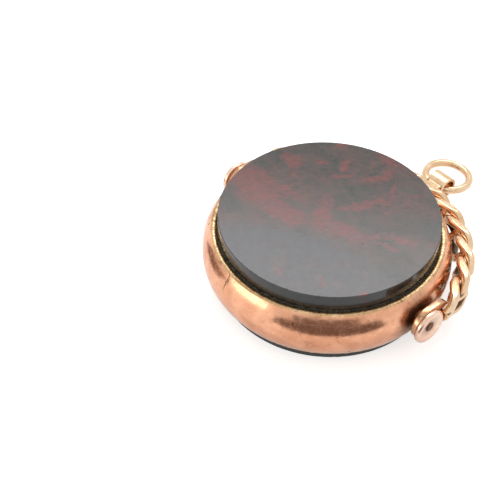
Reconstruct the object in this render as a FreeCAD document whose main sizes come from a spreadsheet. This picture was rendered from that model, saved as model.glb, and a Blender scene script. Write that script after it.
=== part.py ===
# Pocket watch fob: a two-faced polished stone disc that spins in a curb-link bow.
#
# Frame: millimetres, +Z up through the disc, origin at the centre of the back stone's flat face.
# +X runs along the pivot line towards the near pivot, +Y towards the top of the bow.

import FreeCAD, Part
import math
import os
import Sketcher

Vector = FreeCAD.Vector
Rotation = FreeCAD.Rotation
Placement = FreeCAD.Placement

X_AXIS = Vector(1, 0, 0)
Y_AXIS = Vector(0, 1, 0)
Z_AXIS = Vector(0, 0, 1)
ORIGIN = Vector(0, 0, 0)

LINK_COUNT = 12
ARCS_PER_HALF_LINK = 4
POINTS_PER_LINK = 96
TWIST_STEPS = 20

# Each driving size: name, value in millimetres or degrees.
DRIVING = [
    ("stone_radius", 13.0),
    ("front_stone_thickness", 4.5),
    ("back_stone_thickness", 3.9),
    ("stone_bevel", 0.18),
    ("cement_thickness", 1.8),
    ("stone_fit", 0.1),
    ("collet_wall", 0.35),
    ("collet_height", 6.2),
    ("bezel_wall", 0.35),
    ("bezel_skirt", 0.85),
    ("bezel_shoulder", 0.08),
    ("bezel_crown", 0.14),
    ("band_height", 6.3),
    ("band_bulge", 1.02),
    ("band_wall", 0.45),
    ("pin_radius", 0.6),
    ("pin_fit", 0.02),
    ("pin_foot_radius", 1.1),
    ("pin_foot_thickness", 0.4),
    ("pin_peen", 0.12),
    ("collar_radius", 1.15),
    ("collar_stand", 0.4),
    ("side_play", 0.05),
    ("turning_fit", 0.05),
    ("eye_thickness", 0.75),
    ("eye_radius", 2.1),
    ("eye_start", 0.3),
    ("eye_length", 1.4),
    ("eye_slot_start", 2.35),
    ("eye_slot_length", 0.35),
    ("eye_slot_radius", 0.55),
    ("head_radius", 2.15),
    ("head_thickness", 0.66),
    ("head_round", 0.3),
    ("dish_radius", 1.5),
    ("dish_depth", 0.24),
    ("bow_tilt", 2.8),
    ("link_stand", 0.93),
    ("link_seat", 2.76),
    ("wire_radius", 0.55),
    ("link_lap", 1.055),
    ("link_half_width", 1.75),
    ("link_gap", 0.03),
    ("link_planed_depth", 2.1),
    ("link_planed_width", 4.4),
    ("head_clearance", 0.15),
    ("lug_shift", 0.7),
    ("lug_length", 2.5),
    ("lug_radius", 1.5),
    ("lug_hole_radius", 1.1),
    ("lug_stand", 2.4),
    ("lug_stem_length", 1.8),
    ("lug_stem_width", 1.8),
    ("ring_radius", 2.82),
    ("ring_wire_radius", 0.49),
    ("ring_reach", 2.3),
    ("ring_drop", 0.2),
    ("ring_hang", 2.0),
]

# Each size that follows from the driving ones: name, formula.
DERIVED = [
    ("front_face", "front_stone_thickness + cement_thickness / 2"),
    ("back_face", "back_stone_thickness + cement_thickness / 2"),
    ("stone_inner", "cement_thickness / 2"),
    ("stone_land", "stone_radius - stone_bevel"),
    ("front_shoulder", "front_face - stone_bevel"),
    ("back_shoulder", "back_face - stone_bevel"),
    ("collet_inner", "stone_radius + stone_fit"),
    ("collet_outer", "collet_inner + collet_wall"),
    ("collet_half", "collet_height / 2"),
    ("bezel_outer", "collet_outer + bezel_wall"),
    ("bezel_bottom", "collet_half - bezel_skirt"),
    ("bezel_edge", "collet_half + bezel_shoulder"),
    ("bezel_top", "bezel_edge + bezel_crown"),
    ("bezel_middle", "(collet_inner + bezel_outer) / 2"),
    ("band_half", "band_height / 2"),
    ("band_crest", "bezel_outer + band_bulge"),
    ("band_inner_half", "band_half - band_wall"),
    ("band_inner_crest", "band_crest - band_wall"),
    ("pin_start", "collet_outer + pin_fit"),
    ("pin_foot_end", "pin_start + pin_foot_thickness"),
    ("pin_bore_radius", "pin_radius + pin_fit"),
    ("collar_end", "band_crest + collar_stand"),
    ("eye_face", "collar_end + side_play"),
    ("eye_back", "eye_face + eye_thickness"),
    ("eye_bore_radius", "pin_radius + turning_fit"),
    ("eye_end", "eye_start + eye_length"),
    ("eye_slot_end", "eye_slot_start + eye_slot_length"),
    ("head_face", "eye_back + side_play"),
    ("head_top", "head_face + head_thickness"),
    ("head_side", "head_radius - head_round"),
    ("head_edge", "head_top - head_round"),
    ("head_corner", "head_edge + head_round * sqrt(0.5)"),
    ("head_corner_radius", "head_side + head_round * sqrt(0.5)"),
    ("dish_floor", "head_top - dish_depth"),
    ("dish_slope", "dish_floor + dish_depth / 3"),
    ("dish_middle", "(dish_radius + pin_bore_radius) / 2"),
    ("pin_edge", "dish_floor"),
    ("pin_end", "dish_floor + pin_peen"),
    ("pin_end_radius", "pin_radius - pin_peen"),
    ("bow_radius", "eye_face + link_stand"),
    ("first_link_rise", "head_radius + head_clearance + link_seat"),
    ("lug_axis", "bow_radius + link_planed_depth / 2 + lug_stand"),
]

doc = FreeCAD.newDocument("WatchFob")
sheet = doc.addObject("Spreadsheet::Sheet", "Sizes")
for row, (name, content) in enumerate(DRIVING, start=1):
    sheet.set(f"A{row}", name)
    sheet.set(f"B{row}", str(content))
    sheet.setAlias(f"B{row}", name)
doc.recompute()
for row, (name, formula) in enumerate(DERIVED, start=len(DRIVING) + 1):
    sheet.set(f"A{row}", name)
    sheet.set(f"B{row}", "=" + formula)
    sheet.setAlias(f"B{row}", name)
    doc.recompute()

sub_parts = []


def size(name):
    """The value of one named size."""
    return float(sheet.get(name))


def in_sheet(name):
    """The expression that binds a property to a named size, which may carry a minus sign."""
    if name.startswith("-"):
        return f"-Sizes.{name[1:]}"
    return f"Sizes.{name}"


def number(name):
    """The value behind a named size, or zero."""
    if name == "0":
        return 0.0
    if name.startswith("-"):
        return -size(name[1:])
    return size(name)


# Where things lie: the rim's middle plane, and the bow tipped a little about the pivot line.
DISC = Placement(Vector(0, 0, size("back_face")), Rotation())
BACK = DISC * Placement(ORIGIN, Rotation(X_AXIS, 180))
FAR = DISC * Placement(ORIGIN, Rotation(Z_AXIS, 180))
BOW = DISC * Placement(ORIGIN, Rotation(X_AXIS, -size("bow_tilt")))
BOW_FAR = BOW * Placement(ORIGIN, Rotation(Y_AXIS, 180))


def keep(piece, label, placement):
    """Name a sub-part, put it in its place and list it for the files."""
    piece.Label = label
    piece.Placement = placement
    sub_parts.append(piece)
    return piece


def origin_plane(body, role):
    """One of a body's own origin planes."""
    for feature in body.Origin.OriginFeatures:
        if feature.Role == role:
            return feature
    raise RuntimeError(f"no plane {role}")


def new_sketch(body, name, role, lift="0"):
    """A sketch on one of the body's origin planes, lifted off it by a named size."""
    sketch = body.newObject("Sketcher::SketchObject", name)
    sketch.AttachmentSupport = (origin_plane(body, role), [""])
    sketch.MapMode = "FlatFace"
    if lift != "0":
        sketch.setExpression("AttachmentOffset.Base.z", in_sheet(lift))
    return sketch


def pinned(element, vertex, across, up):
    """The two constraints that tie a point of a sketch to its named coordinates."""
    return [
        (Sketcher.Constraint("DistanceX", -1, 1, element, vertex, number(across)), across),
        (Sketcher.Constraint("DistanceY", -1, 1, element, vertex, number(up)), up),
    ]


def joined(kind, *ends):
    """A constraint between parts of a sketch that carries no size."""
    return (Sketcher.Constraint(kind, *ends), "0")


def constrain(sketch, ties):
    """Add all of a sketch's constraints at once, then bind those that carry a named size."""
    first = sketch.ConstraintCount
    sketch.addConstraint([constraint for constraint, _ in ties])
    for index, (_, name) in enumerate(ties, start=first):
        if name != "0":
            sketch.setExpression(f"Constraints[{index}]", in_sheet(name))


def draw_outline(sketch, corners, bulges=None):
    """A closed outline through the corners; a side with a bulge is an arc through that point."""
    bulges = bulges or {}
    points = [Vector(number(across), number(up), 0) for across, up in corners]
    ends = []
    ties = []
    for side, start in enumerate(points):
        stop = points[(side + 1) % len(points)]
        if side not in bulges:
            ends.append((sketch.addGeometry(Part.LineSegment(start, stop)), 1, 2))
            continue
        across, up = bulges[side]
        crest = Vector(number(across), number(up), 0)
        leftward = (crest - start).cross(stop - crest).z > 0
        if leftward:
            element = sketch.addGeometry(Part.Arc(start, crest, stop))
            ends.append((element, 1, 2))
        else:
            element = sketch.addGeometry(Part.Arc(stop, crest, start))
            ends.append((element, 2, 1))
        marker = sketch.addGeometry(Part.Point(crest), True)
        ties += pinned(marker, 1, across, up)
        ties.append(joined("PointOnObject", marker, 1, element))
    for side, (element, first, last) in enumerate(ends):
        following, entry, _ = ends[(side + 1) % len(ends)]
        ties.append(joined("Coincident", element, last, following, entry))
        ties += pinned(element, first, *corners[side])
    constrain(sketch, ties)


def draw_circle(sketch, radius):
    """A circle about the sketch's origin."""
    element = sketch.addGeometry(Part.Circle(ORIGIN, Z_AXIS, number(radius)))
    centred = joined("Coincident", element, 3, -1, 1)
    sized = (Sketcher.Constraint("Radius", element, number(radius)), radius)
    constrain(sketch, [centred, sized])


def draw_long_hole(sketch, first, second, radius):
    """A round-ended outline about two centres on the sketch's level axis."""
    reach = number(radius)
    near = Vector(number(first), 0, 0)
    distant = Vector(number(second), 0, 0)
    up = Vector(0, reach, 0)
    quarter = math.pi / 2
    left_arc = Part.ArcOfCircle(Part.Circle(near, Z_AXIS, reach), quarter, 3 * quarter)
    right_arc = Part.ArcOfCircle(Part.Circle(distant, Z_AXIS, reach), -quarter, quarter)
    left = sketch.addGeometry(left_arc)
    right = sketch.addGeometry(right_arc)
    top = sketch.addGeometry(Part.LineSegment(distant + up, near + up))
    bottom = sketch.addGeometry(Part.LineSegment(near - up, distant - up))
    ties = pinned(left, 3, first, "0") + pinned(right, 3, second, "0")
    ties.append(joined("Tangent", right, 2, top, 1))
    ties.append(joined("Tangent", top, 2, left, 1))
    ties.append(joined("Tangent", left, 2, bottom, 1))
    ties.append(joined("Tangent", bottom, 2, right, 1))
    ties.append((Sketcher.Constraint("Radius", right, reach), radius))
    constrain(sketch, ties)


def turned(body, name, corners, bulges=None, axis="V_Axis", feature="Revolution"):
    """Turn an outline in the upright XZ plane about one of its axes, adding or cutting."""
    sketch = new_sketch(body, name + "_outline", "XZ_Plane")
    draw_outline(sketch, corners, bulges)
    turn = body.newObject("PartDesign::" + feature, name)
    turn.Profile = sketch
    turn.ReferenceAxis = (sketch, [axis])
    turn.Angle = 360
    body.Tip = turn
    return turn


def cut_through(body, name, sketch):
    """Cut a sketch through the whole body, both ways."""
    pocket = body.newObject("PartDesign::Pocket", name)
    pocket.Profile = sketch
    pocket.Type = "ThroughAll"
    pocket.Midplane = True
    body.Tip = pocket
    return pocket


def make_stone(label, face, shoulder, placement):
    """A flat polished slab with a fine bevel round its face; the front one stands prouder."""
    body = doc.addObject("PartDesign::Body", label)
    corners = [
        ("0", "stone_inner"),
        ("stone_radius", "stone_inner"),
        ("stone_radius", shoulder),
        ("stone_land", face),
        ("0", face),
    ]
    turned(body, label + "_turned", corners)
    keep(body, label, placement)


def make_cement_core():
    """The layer of cement that holds the two slabs back to back."""
    core = doc.addObject("Part::Cylinder", "cement_core")
    core.setExpression("Radius", in_sheet("stone_radius"))
    core.setExpression("Height", in_sheet("cement_thickness"))
    keep(core, "cement_core", DISC * Placement(Vector(0, 0, -size("stone_inner")), Rotation()))


def make_collet():
    """The plain inner tube of the rim, round both stones."""
    body = doc.addObject("PartDesign::Body", "rim_inner_collet")
    corners = [
        ("collet_inner", "-collet_half"),
        ("collet_outer", "-collet_half"),
        ("collet_outer", "collet_half"),
        ("collet_inner", "collet_half"),
    ]
    turned(body, "collet_turned", corners)
    keep(body, "rim_inner_collet", DISC)


def make_bezel(label, placement):
    """A capping ring with a rounded top and a skirt between the collet and the band."""
    body = doc.addObject("PartDesign::Body", label)
    corners = [
        ("collet_outer", "bezel_bottom"),
        ("bezel_outer", "bezel_bottom"),
        ("bezel_outer", "bezel_edge"),
        ("collet_inner", "bezel_edge"),
        ("collet_inner", "collet_half"),
        ("collet_outer", "collet_half"),
    ]
    turned(body, label + "_turned", corners, {2: ("bezel_middle", "bezel_top")})
    keep(body, label, placement)


def make_outer_band():
    """The domed hollow band round the rim, with a hole for each pivot pin."""
    body = doc.addObject("PartDesign::Body", "rim_outer_band")
    corners = [
        ("bezel_outer", "-band_half"),
        ("bezel_outer", "band_half"),
        ("bezel_outer", "band_inner_half"),
        ("bezel_outer", "-band_inner_half"),
    ]
    bulges = {0: ("band_crest", "0"), 2: ("band_inner_crest", "0")}
    turned(body, "band_turned", corners, bulges)
    sketch = new_sketch(body, "band_hole_outline", "YZ_Plane")
    draw_circle(sketch, "pin_bore_radius")
    cut_through(body, "band_holes", sketch)
    keep(body, "rim_outer_band", DISC)


def make_pin(label, placement):
    """A pivot pin: a foot inside the hollow band, a shank, and a peened end in the head."""
    body = doc.addObject("PartDesign::Body", label)
    corners = [
        ("pin_start", "0"),
        ("pin_start", "pin_foot_radius"),
        ("pin_foot_end", "pin_foot_radius"),
        ("pin_foot_end", "pin_radius"),
        ("pin_edge", "pin_radius"),
        ("pin_end", "pin_end_radius"),
        ("pin_end", "0"),
    ]
    turned(body, label + "_turned", corners, axis="H_Axis")
    keep(body, label, placement)


def make_collar(label, placement):
    """A spacer on the pin, saddled to the domed band."""
    body = doc.addObject("PartDesign::Body", label)
    sketch = new_sketch(body, label + "_outline", "YZ_Plane", lift="bezel_outer")
    draw_circle(sketch, "collar_radius")
    pad = body.newObject("PartDesign::Pad", label + "_pad")
    pad.Profile = sketch
    pad.setExpression("Length", "Sizes.collar_end - Sizes.bezel_outer")
    corners = [
        ("collet_outer", "-band_half"),
        ("bezel_outer", "-band_half"),
        ("bezel_outer", "band_half"),
        ("collet_outer", "band_half"),
    ]
    doc.recompute()
    turned(body, label + "_saddle", corners, {1: ("band_crest", "0")}, feature="Groove")
    bore = new_sketch(body, label + "_bore_outline", "YZ_Plane")
    draw_circle(bore, "pin_bore_radius")
    cut_through(body, label + "_bore", bore)
    keep(body, label, placement)


def make_eye(label, placement):
    """The bow's flat end plate: a long round-ended eye with the pin's hole and a slot."""
    body = doc.addObject("PartDesign::Body", label)
    sketch = new_sketch(body, label + "_outline", "YZ_Plane", lift="eye_face")
    draw_long_hole(sketch, "eye_start", "eye_end", "eye_radius")
    pad = body.newObject("PartDesign::Pad", label + "_pad")
    pad.Profile = sketch
    pad.setExpression("Length", in_sheet("eye_thickness"))
    doc.recompute()
    bore = new_sketch(body, label + "_bore_outline", "YZ_Plane", lift="eye_face")
    draw_circle(bore, "eye_bore_radius")
    cut_through(body, label + "_bore", bore)
    doc.recompute()
    slot = new_sketch(body, label + "_slot_outline", "YZ_Plane", lift="eye_face")
    draw_long_hole(slot, "eye_slot_start", "eye_slot_end", "eye_slot_radius")
    cut_through(body, label + "_slot", slot)
    keep(body, label, placement)


def make_head(label, placement):
    """The rivet head: a round-edged button, dished in the middle, on the pin's end."""
    body = doc.addObject("PartDesign::Body", label)
    corners = [
        ("head_face", "pin_bore_radius"),
        ("head_face", "head_radius"),
        ("head_edge", "head_radius"),
        ("head_top", "head_side"),
        ("head_top", "dish_radius"),
        ("dish_floor", "pin_bore_radius"),
    ]
    bulges = {2: ("head_corner", "head_corner_radius"), 4: ("dish_slope", "dish_middle")}
    turned(body, label + "_turned", corners, bulges, axis="H_Axis")
    keep(body, label, placement)


def arc_towards(start, corner, stop):
    """The arc that leaves its start towards the corner and arrives from it."""
    middle = (start + stop) / 2
    half_chord = (stop - start).Length / 2
    rise = corner - middle
    half_turn = math.atan2(rise.Length, half_chord)
    crest = middle + rise * (half_chord * math.tan(half_turn / 2) / rise.Length)
    return Part.Arc(start, crest, stop).toShape()


def two_arcs(start, leaving, stop, arriving):
    """Two arcs that join two points and keep the directions at both."""
    across = stop - start
    both = leaving + arriving
    spread = 2 * (1 - leaving.dot(arriving))
    lean = across.dot(both)
    reach = (math.sqrt(lean * lean + spread * across.dot(across)) - lean) / spread
    first_corner = start + leaving * reach
    second_corner = stop - arriving * reach
    meeting = (first_corner + second_corner) / 2
    return [
        arc_towards(start, first_corner, meeting),
        arc_towards(meeting, second_corner, stop),
    ]


def link_angle(place):
    """The angle of a link along the bow, from the near pivot."""
    first = math.degrees(math.asin(size("first_link_rise") / size("bow_radius")))
    return first + (180 - 2 * first) * place / (LINK_COUNT - 1)


LINK_PITCH = math.radians(link_angle(1) - link_angle(0))
LINK_HALF_LENGTH = size("bow_radius") * LINK_PITCH / 2 + size("link_lap")


def link_point(angle, twist):
    """A point of a curb link's centre line: outward, along the bow, up."""
    outward = size("bow_radius") - twist * math.sin(2 * angle)
    along = LINK_HALF_LENGTH * math.cos(angle)
    up = size("link_half_width") * math.sin(angle)
    return Vector(outward, along, up)


def link_direction(angle, twist):
    """The centre line's direction at the same angle."""
    outward = -2 * twist * math.cos(2 * angle)
    along = -LINK_HALF_LENGTH * math.sin(angle)
    up = size("link_half_width") * math.cos(angle)
    return Vector(outward, along, up).normalize()


def neighbour_gap(twist):
    """The least space between the wires of two neighbouring links."""
    angles = [2 * math.pi * step / POINTS_PER_LINK for step in range(POINTS_PER_LINK)]
    link = [link_point(angle, twist) for angle in angles]
    turn = Rotation(Z_AXIS, math.degrees(LINK_PITCH))
    neighbour = [turn.multVec(point) for point in link]
    nearest = min(point.distanceToPoint(other) for point in link for other in neighbour)
    return nearest - 2 * size("wire_radius")


def settled_twist():
    """The least twist at which the links of the row pass each other with the named gap."""
    low = 0.0
    high = size("link_half_width")
    for _ in range(TWIST_STEPS):
        middle = (low + high) / 2
        if neighbour_gap(middle) < size("link_gap"):
            low = middle
        else:
            high = middle
    return high


LINK_TWIST = settled_twist()
print(f"link pitch {math.degrees(LINK_PITCH):.3f} degrees, twist {LINK_TWIST:.4f} mm")


def link_shape():
    """One twisted curb link of round wire, planed flat inside, outside, above and below."""
    angles = [math.pi * step / ARCS_PER_HALF_LINK for step in range(ARCS_PER_HALF_LINK + 1)]
    edges = []
    for first, second in zip(angles, angles[1:]):
        start = link_point(first, LINK_TWIST)
        stop = link_point(second, LINK_TWIST)
        leaving = link_direction(first, LINK_TWIST)
        arriving = link_direction(second, LINK_TWIST)
        edges += two_arcs(start, leaving, stop, arriving)
    path = Part.Wire(edges)
    tip = link_point(0, LINK_TWIST)
    across = link_direction(0, LINK_TWIST)
    section = Part.Circle(tip, across, size("wire_radius")).toShape()
    half = path.makePipeShell([Part.Wire([section])], True, False)
    other = half.copy()
    other.rotate(Vector(size("bow_radius"), 0, 0), X_AXIS, 180)
    depth = size("link_planed_depth")
    width = size("link_planed_width")
    reach = LINK_HALF_LENGTH + 2 * size("wire_radius")
    corner = Vector(size("bow_radius") - depth / 2, -reach, -width / 2)
    planes = Part.makeBox(depth, 2 * reach, width, corner)
    return half.fuse(other).common(planes).Solids[0]


def make_links():
    """The bow's row of curb links; the end ones are hollowed to clear the rivet heads."""
    whole = link_shape()
    clear_radius = size("head_radius") + size("head_clearance")
    clear_length = 2 * (size("head_top") + LINK_HALF_LENGTH)
    clear = Part.makeCylinder(clear_radius, clear_length, Vector(-clear_length / 2, 0, 0), X_AXIS)
    for place in range(LINK_COUNT):
        label = f"curb_link_{place + 1:02d}"
        turn = Rotation(Z_AXIS, link_angle(place))
        shape = whole
        if place in (0, LINK_COUNT - 1):
            cutter = clear.copy()
            cutter.rotate(ORIGIN, Z_AXIS, -link_angle(place))
            shape = whole.cut(cutter).Solids[0]
        link = doc.addObject("Part::Feature", label)
        link.Shape = shape
        keep(link, label, BOW * Placement(ORIGIN, turn))


def make_lug():
    """The tube on top of the bow, with a stem cut to sit on the two links under it."""
    shift = size("lug_shift")
    axis_height = size("lug_axis")
    tube = doc.addObject("Part::Cylinder", "lug_tube")
    tube.setExpression("Radius", in_sheet("lug_radius"))
    tube.setExpression("Height", in_sheet("lug_length"))
    start = Vector(shift - size("lug_length") / 2, axis_height, 0)
    tube.Placement = Placement(start, Rotation(Y_AXIS, 90))
    stem = doc.addObject("Part::Box", "lug_stem")
    stem.setExpression("Length", in_sheet("lug_stem_length"))
    stem.setExpression("Width", "Sizes.lug_stand + Sizes.wire_radius")
    stem.setExpression("Height", in_sheet("lug_stem_width"))
    stem_corner = Vector(
        shift - size("lug_stem_length") / 2,
        axis_height - size("lug_stand") - size("wire_radius"),
        -size("lug_stem_width") / 2,
    )
    stem.Placement = Placement(stem_corner, Rotation())
    solid = doc.addObject("Part::Fuse", "lug_solid")
    solid.Base = tube
    solid.Tool = stem
    hole = doc.addObject("Part::Cylinder", "lug_hole")
    hole.setExpression("Radius", in_sheet("lug_hole_radius"))
    hole.setExpression("Height", "Sizes.lug_length + 2 * Sizes.side_play")
    hole.Placement = Placement(start - X_AXIS * size("side_play"), Rotation(Y_AXIS, 90))
    cut = doc.addObject("Part::Cut", "lug_bored")
    cut.Base = solid
    cut.Tool = hole
    for place in (LINK_COUNT // 2 - 1, LINK_COUNT // 2):
        flat = doc.addObject("Part::Box", f"lug_seat_{place}")
        flat.setExpression("Length", in_sheet("link_planed_depth"))
        flat.setExpression("Width", in_sheet("bow_radius"))
        flat.setExpression("Height", in_sheet("link_planed_width"))
        flat_corner = Vector(
            size("bow_radius") - size("link_planed_depth") / 2,
            -size("bow_radius") / 2,
            -size("link_planed_width") / 2,
        )
        turn = Placement(ORIGIN, Rotation(Z_AXIS, link_angle(place)))
        flat.Placement = turn * Placement(flat_corner, Rotation())
        seated = doc.addObject("Part::Cut", f"lug_seated_{place}")
        seated.Base = cut
        seated.Tool = flat
        cut = seated
    keep(cut, "apex_lug", BOW)


def make_ring():
    """The suspension ring, resting low in the lug's hole and hanging a little."""
    ring = doc.addObject("Part::Torus", "suspension_ring")
    ring.setExpression("Radius1", in_sheet("ring_radius"))
    ring.setExpression("Radius2", in_sheet("ring_wire_radius"))
    lug = Placement(Vector(0, size("lug_axis"), 0), Rotation(X_AXIS, -size("ring_hang")))
    reach = Placement(Vector(0, size("ring_reach"), -size("ring_drop")), Rotation())
    keep(ring, "suspension_ring", BOW * lug * reach)


def check_document():
    """Stop if any object failed or any sub-part has no sound shape."""
    for item in doc.Objects:
        if "Invalid" in item.State or "Error" in item.State:
            raise RuntimeError(f"{item.Name} failed: {item.State}")
    for piece in sub_parts:
        if piece.Shape.isNull() or not piece.Shape.isValid():
            raise RuntimeError(f"{piece.Label} has no sound shape")


def write_files():
    """One file for each sub-part, named after it."""
    os.makedirs("parts", exist_ok=True)
    for piece in sub_parts:
        piece.Shape.exportStep(f"parts/{piece.Label}.step")
        print(f"{piece.Label}: {piece.Shape.Volume:.3f} mm3, {len(piece.Shape.Solids)} solid")


make_stone("front_stone", "front_face", "front_shoulder", DISC)
make_stone("back_stone", "back_face", "back_shoulder", BACK)
make_cement_core()
make_collet()
make_bezel("front_bezel", DISC)
make_bezel("back_bezel", BACK)
make_outer_band()
make_pin("near_pivot_pin", DISC)
make_pin("far_pivot_pin", FAR)
make_collar("near_pivot_collar", DISC)
make_collar("far_pivot_collar", FAR)
make_head("near_rivet_head", DISC)
make_head("far_rivet_head", FAR)
make_eye("near_bow_eye", BOW)
make_eye("far_bow_eye", BOW_FAR)
make_links()
make_lug()
make_ring()
doc.recompute()
check_document()
write_files()
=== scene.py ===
import math

import bmesh
import bpy
from mathutils import Matrix, Vector, noise


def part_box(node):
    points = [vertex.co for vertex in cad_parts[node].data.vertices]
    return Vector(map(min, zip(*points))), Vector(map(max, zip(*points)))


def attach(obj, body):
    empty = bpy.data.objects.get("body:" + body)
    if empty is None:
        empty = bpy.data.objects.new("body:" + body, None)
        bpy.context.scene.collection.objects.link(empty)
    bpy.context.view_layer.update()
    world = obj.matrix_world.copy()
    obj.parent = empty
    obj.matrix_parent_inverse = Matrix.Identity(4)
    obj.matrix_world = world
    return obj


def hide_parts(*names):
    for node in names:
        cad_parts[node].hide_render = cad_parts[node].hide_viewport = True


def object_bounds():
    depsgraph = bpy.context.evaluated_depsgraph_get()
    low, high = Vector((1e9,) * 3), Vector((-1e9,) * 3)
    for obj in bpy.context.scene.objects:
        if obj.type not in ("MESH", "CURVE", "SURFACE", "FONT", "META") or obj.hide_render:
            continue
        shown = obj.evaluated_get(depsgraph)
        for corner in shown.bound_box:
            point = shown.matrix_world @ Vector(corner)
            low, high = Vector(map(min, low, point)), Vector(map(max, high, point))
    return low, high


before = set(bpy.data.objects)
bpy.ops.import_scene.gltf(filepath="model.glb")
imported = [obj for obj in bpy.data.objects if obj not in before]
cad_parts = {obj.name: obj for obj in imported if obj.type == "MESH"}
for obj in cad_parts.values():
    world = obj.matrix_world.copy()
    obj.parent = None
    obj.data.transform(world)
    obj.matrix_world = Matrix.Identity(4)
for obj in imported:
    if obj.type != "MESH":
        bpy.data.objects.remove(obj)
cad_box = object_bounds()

MM = 0.001

# Camera
CAMERA_PLACE = Vector((62.386, -68.854, 97.879)) * MM
CAMERA_AIM = Vector((-5.338, -7.484, 5.1)) * MM
CAMERA_ROLL = math.radians(1.178)
CAMERA_LENS = 79.2

# Bow and chain
BOW_TILT = math.radians(-2.8)
BOW_RADIUS = 16.20 * MM
LINK_COUNT = 12
LINK_STEPS = 128
WIRE_STEPS = 40
FIRST_LINK = math.radians(18.2)
WIRE_RADIUS = 0.55 * MM
LINK_HALF_WIDTH = 1.75 * MM
LINK_LAP = 1.055 * MM
LINK_TWIST = 0.6576 * MM
PLANED_DEPTH = 2.0 * MM
PLANED_WIDTH = 4.3 * MM
PLANED_SOFTNESS = 0.02 * MM
HEAD_CLEARANCE = 0.15 * MM

# Rim and setting
RIM_STEPS = 720
STONE_STEPS = 480
BAND_WALL = 0.45 * MM
COLLET_WALL = 0.35 * MM
SEAM_ANGLE = math.radians(-97.4)
SEAM_WIDTH = 0.09 * MM
SEAM_DEPTH = 0.05 * MM
STONE_BEVEL = 0.07 * MM

# Rivet heads, fittings and ring
HEAD_STEPS = 128
HEAD_ROUND = 0.3 * MM
HEAD_CHAMFER = 0.08 * MM
DISH_RADIUS = 1.5 * MM
DISH_DEPTH = 0.24 * MM
PIN_RADIUS = 0.62 * MM
FITTING_BEVEL = 0.09 * MM
LUG_GRID = 0.05 * MM
RING_STEPS = 160
RING_WIRE_STEPS = 32
RING_WIRE = 0.49 * MM
RING_HANG = math.radians(-4.8)

# Studio
FLOOR_LIFT = 0.60
FLOOR_MIRRORED = 0.52
FLOOR_REACH = 2.0
CARD_HEIGHT = 0.05 * MM
WORLD_LEVEL = 0.6
DARK_SHADE = (0.20, 0.165, 0.155)

# Dents in the rim: angle round the rim, height over its middle, radius, depth
RIM_DENTS = [
    (-78.3, -0.9, 0.55, 0.10),
    (-74.0, -1.6, 0.40, 0.07),
    (-67.3, 0.0, 0.42, 0.08),
    (-52.0, -1.2, 0.60, 0.05),
    (-98.5, 0.2, 0.50, 0.06),
    (-20.0, -0.6, 0.70, 0.05),
    (130.0, 0.8, 0.60, 0.07),
    (158.0, -0.5, 0.45, 0.06),
    (60.0, -1.0, 0.55, 0.06),
]


# Reading the frame
def low(node, axis):
    """The lowest coordinate of a CAD node along an axis."""
    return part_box(node)[0][axis]


def high(node, axis):
    """The highest coordinate of a CAD node along an axis."""
    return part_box(node)[1][axis]


STONE_RADIUS = high("front_stone", 0)
FACE_TOP = high("front_stone", 2)
MIDDLE = (low("rim_outer_band", 2) + high("rim_outer_band", 2)) / 2
COLLET_OUTER = high("rim_inner_collet", 0)
COLLET_INNER = COLLET_OUTER - COLLET_WALL
COLLET_HALF = high("rim_inner_collet", 2) - MIDDLE
BEZEL_OUTER = high("front_bezel", 0)
BEZEL_TOP = high("front_bezel", 2) - MIDDLE
BEZEL_BOTTOM = low("front_bezel", 2) - MIDDLE
BAND_CREST = high("rim_outer_band", 1)
BAND_HALF = high("rim_outer_band", 2) - MIDDLE
HEAD_FACE = low("near_rivet_head", 0)
HEAD_TOP = high("near_rivet_head", 0)
HEAD_RADIUS = high("near_rivet_head", 1)
BOW = Matrix.Translation((0, 0, MIDDLE)) @ Matrix.Rotation(BOW_TILT, 4, "X")


# Colours of the golds
# Tarnish colour, also used for painted shade round the rim's pivots and on the dark collars
TARNISH_AND_SHADE = (0.085, 0.042, 0.016)
ROSE_BRIGHT = (0.90, 0.475, 0.300)
ROSE_DEEP = (0.72, 0.345, 0.200)
# Grime colour, also the lightest tone of the near-black collar gold, which is painted shade
ROSE_GRIME_AND_SHADE = (0.22, 0.090, 0.045)
FITTING_BRIGHT = (0.76, 0.46, 0.29)
FITTING_DEEP = (0.55, 0.31, 0.16)
HEAD_BRIGHT = (0.93, 0.70, 0.56)
HEAD_DEEP = (0.84, 0.56, 0.42)
CHAIN_BRIGHT = (0.89, 0.665, 0.46)
CHAIN_DEEP = (0.77, 0.515, 0.31)
CHAIN_GRIME = (0.20, 0.105, 0.040)
EDGE_BRIGHT = (0.78, 0.52, 0.29)
EDGE_DEEP = (0.50, 0.31, 0.15)
EDGE_GRIME = (0.10, 0.070, 0.030)


# Node trees
def add(tree, kind, inputs=None, **settings):
    """A node with its settings, and its inputs given as values or as links."""
    made = tree.nodes.new(kind)
    for name, value in settings.items():
        setattr(made, name, value)
    for key, value in (inputs or {}).items():
        socket = made.inputs[key]
        if isinstance(value, bpy.types.NodeSocket):
            tree.links.new(value, socket)
        else:
            socket.default_value = value
    return made


def calculate(tree, operation, first, second=0.0, third=0.0, **settings):
    """The result of a Math node."""
    inputs = {0: first, 1: second, 2: third}
    return add(tree, "ShaderNodeMath", inputs, operation=operation, **settings).outputs[0]


def millimetres(tree):
    """The piece's own coordinates in millimetres."""
    place = add(tree, "ShaderNodeTexCoord").outputs["Object"]
    scale = {"Vector": place, "Scale": (1 / MM, 1 / MM, 1 / MM)}
    return add(tree, "ShaderNodeMapping", scale).outputs[0]


def turned_place(tree, place, centre, angle, stretch):
    """Coordinates about a centre, turned by an angle in degrees and stretched."""
    inputs = {
        "Vector": place,
        "Location": centre,
        "Rotation": (0.0, 0.0, math.radians(angle)),
        "Scale": stretch,
    }
    return add(tree, "ShaderNodeMapping", inputs, vector_type="TEXTURE").outputs[0]


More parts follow.
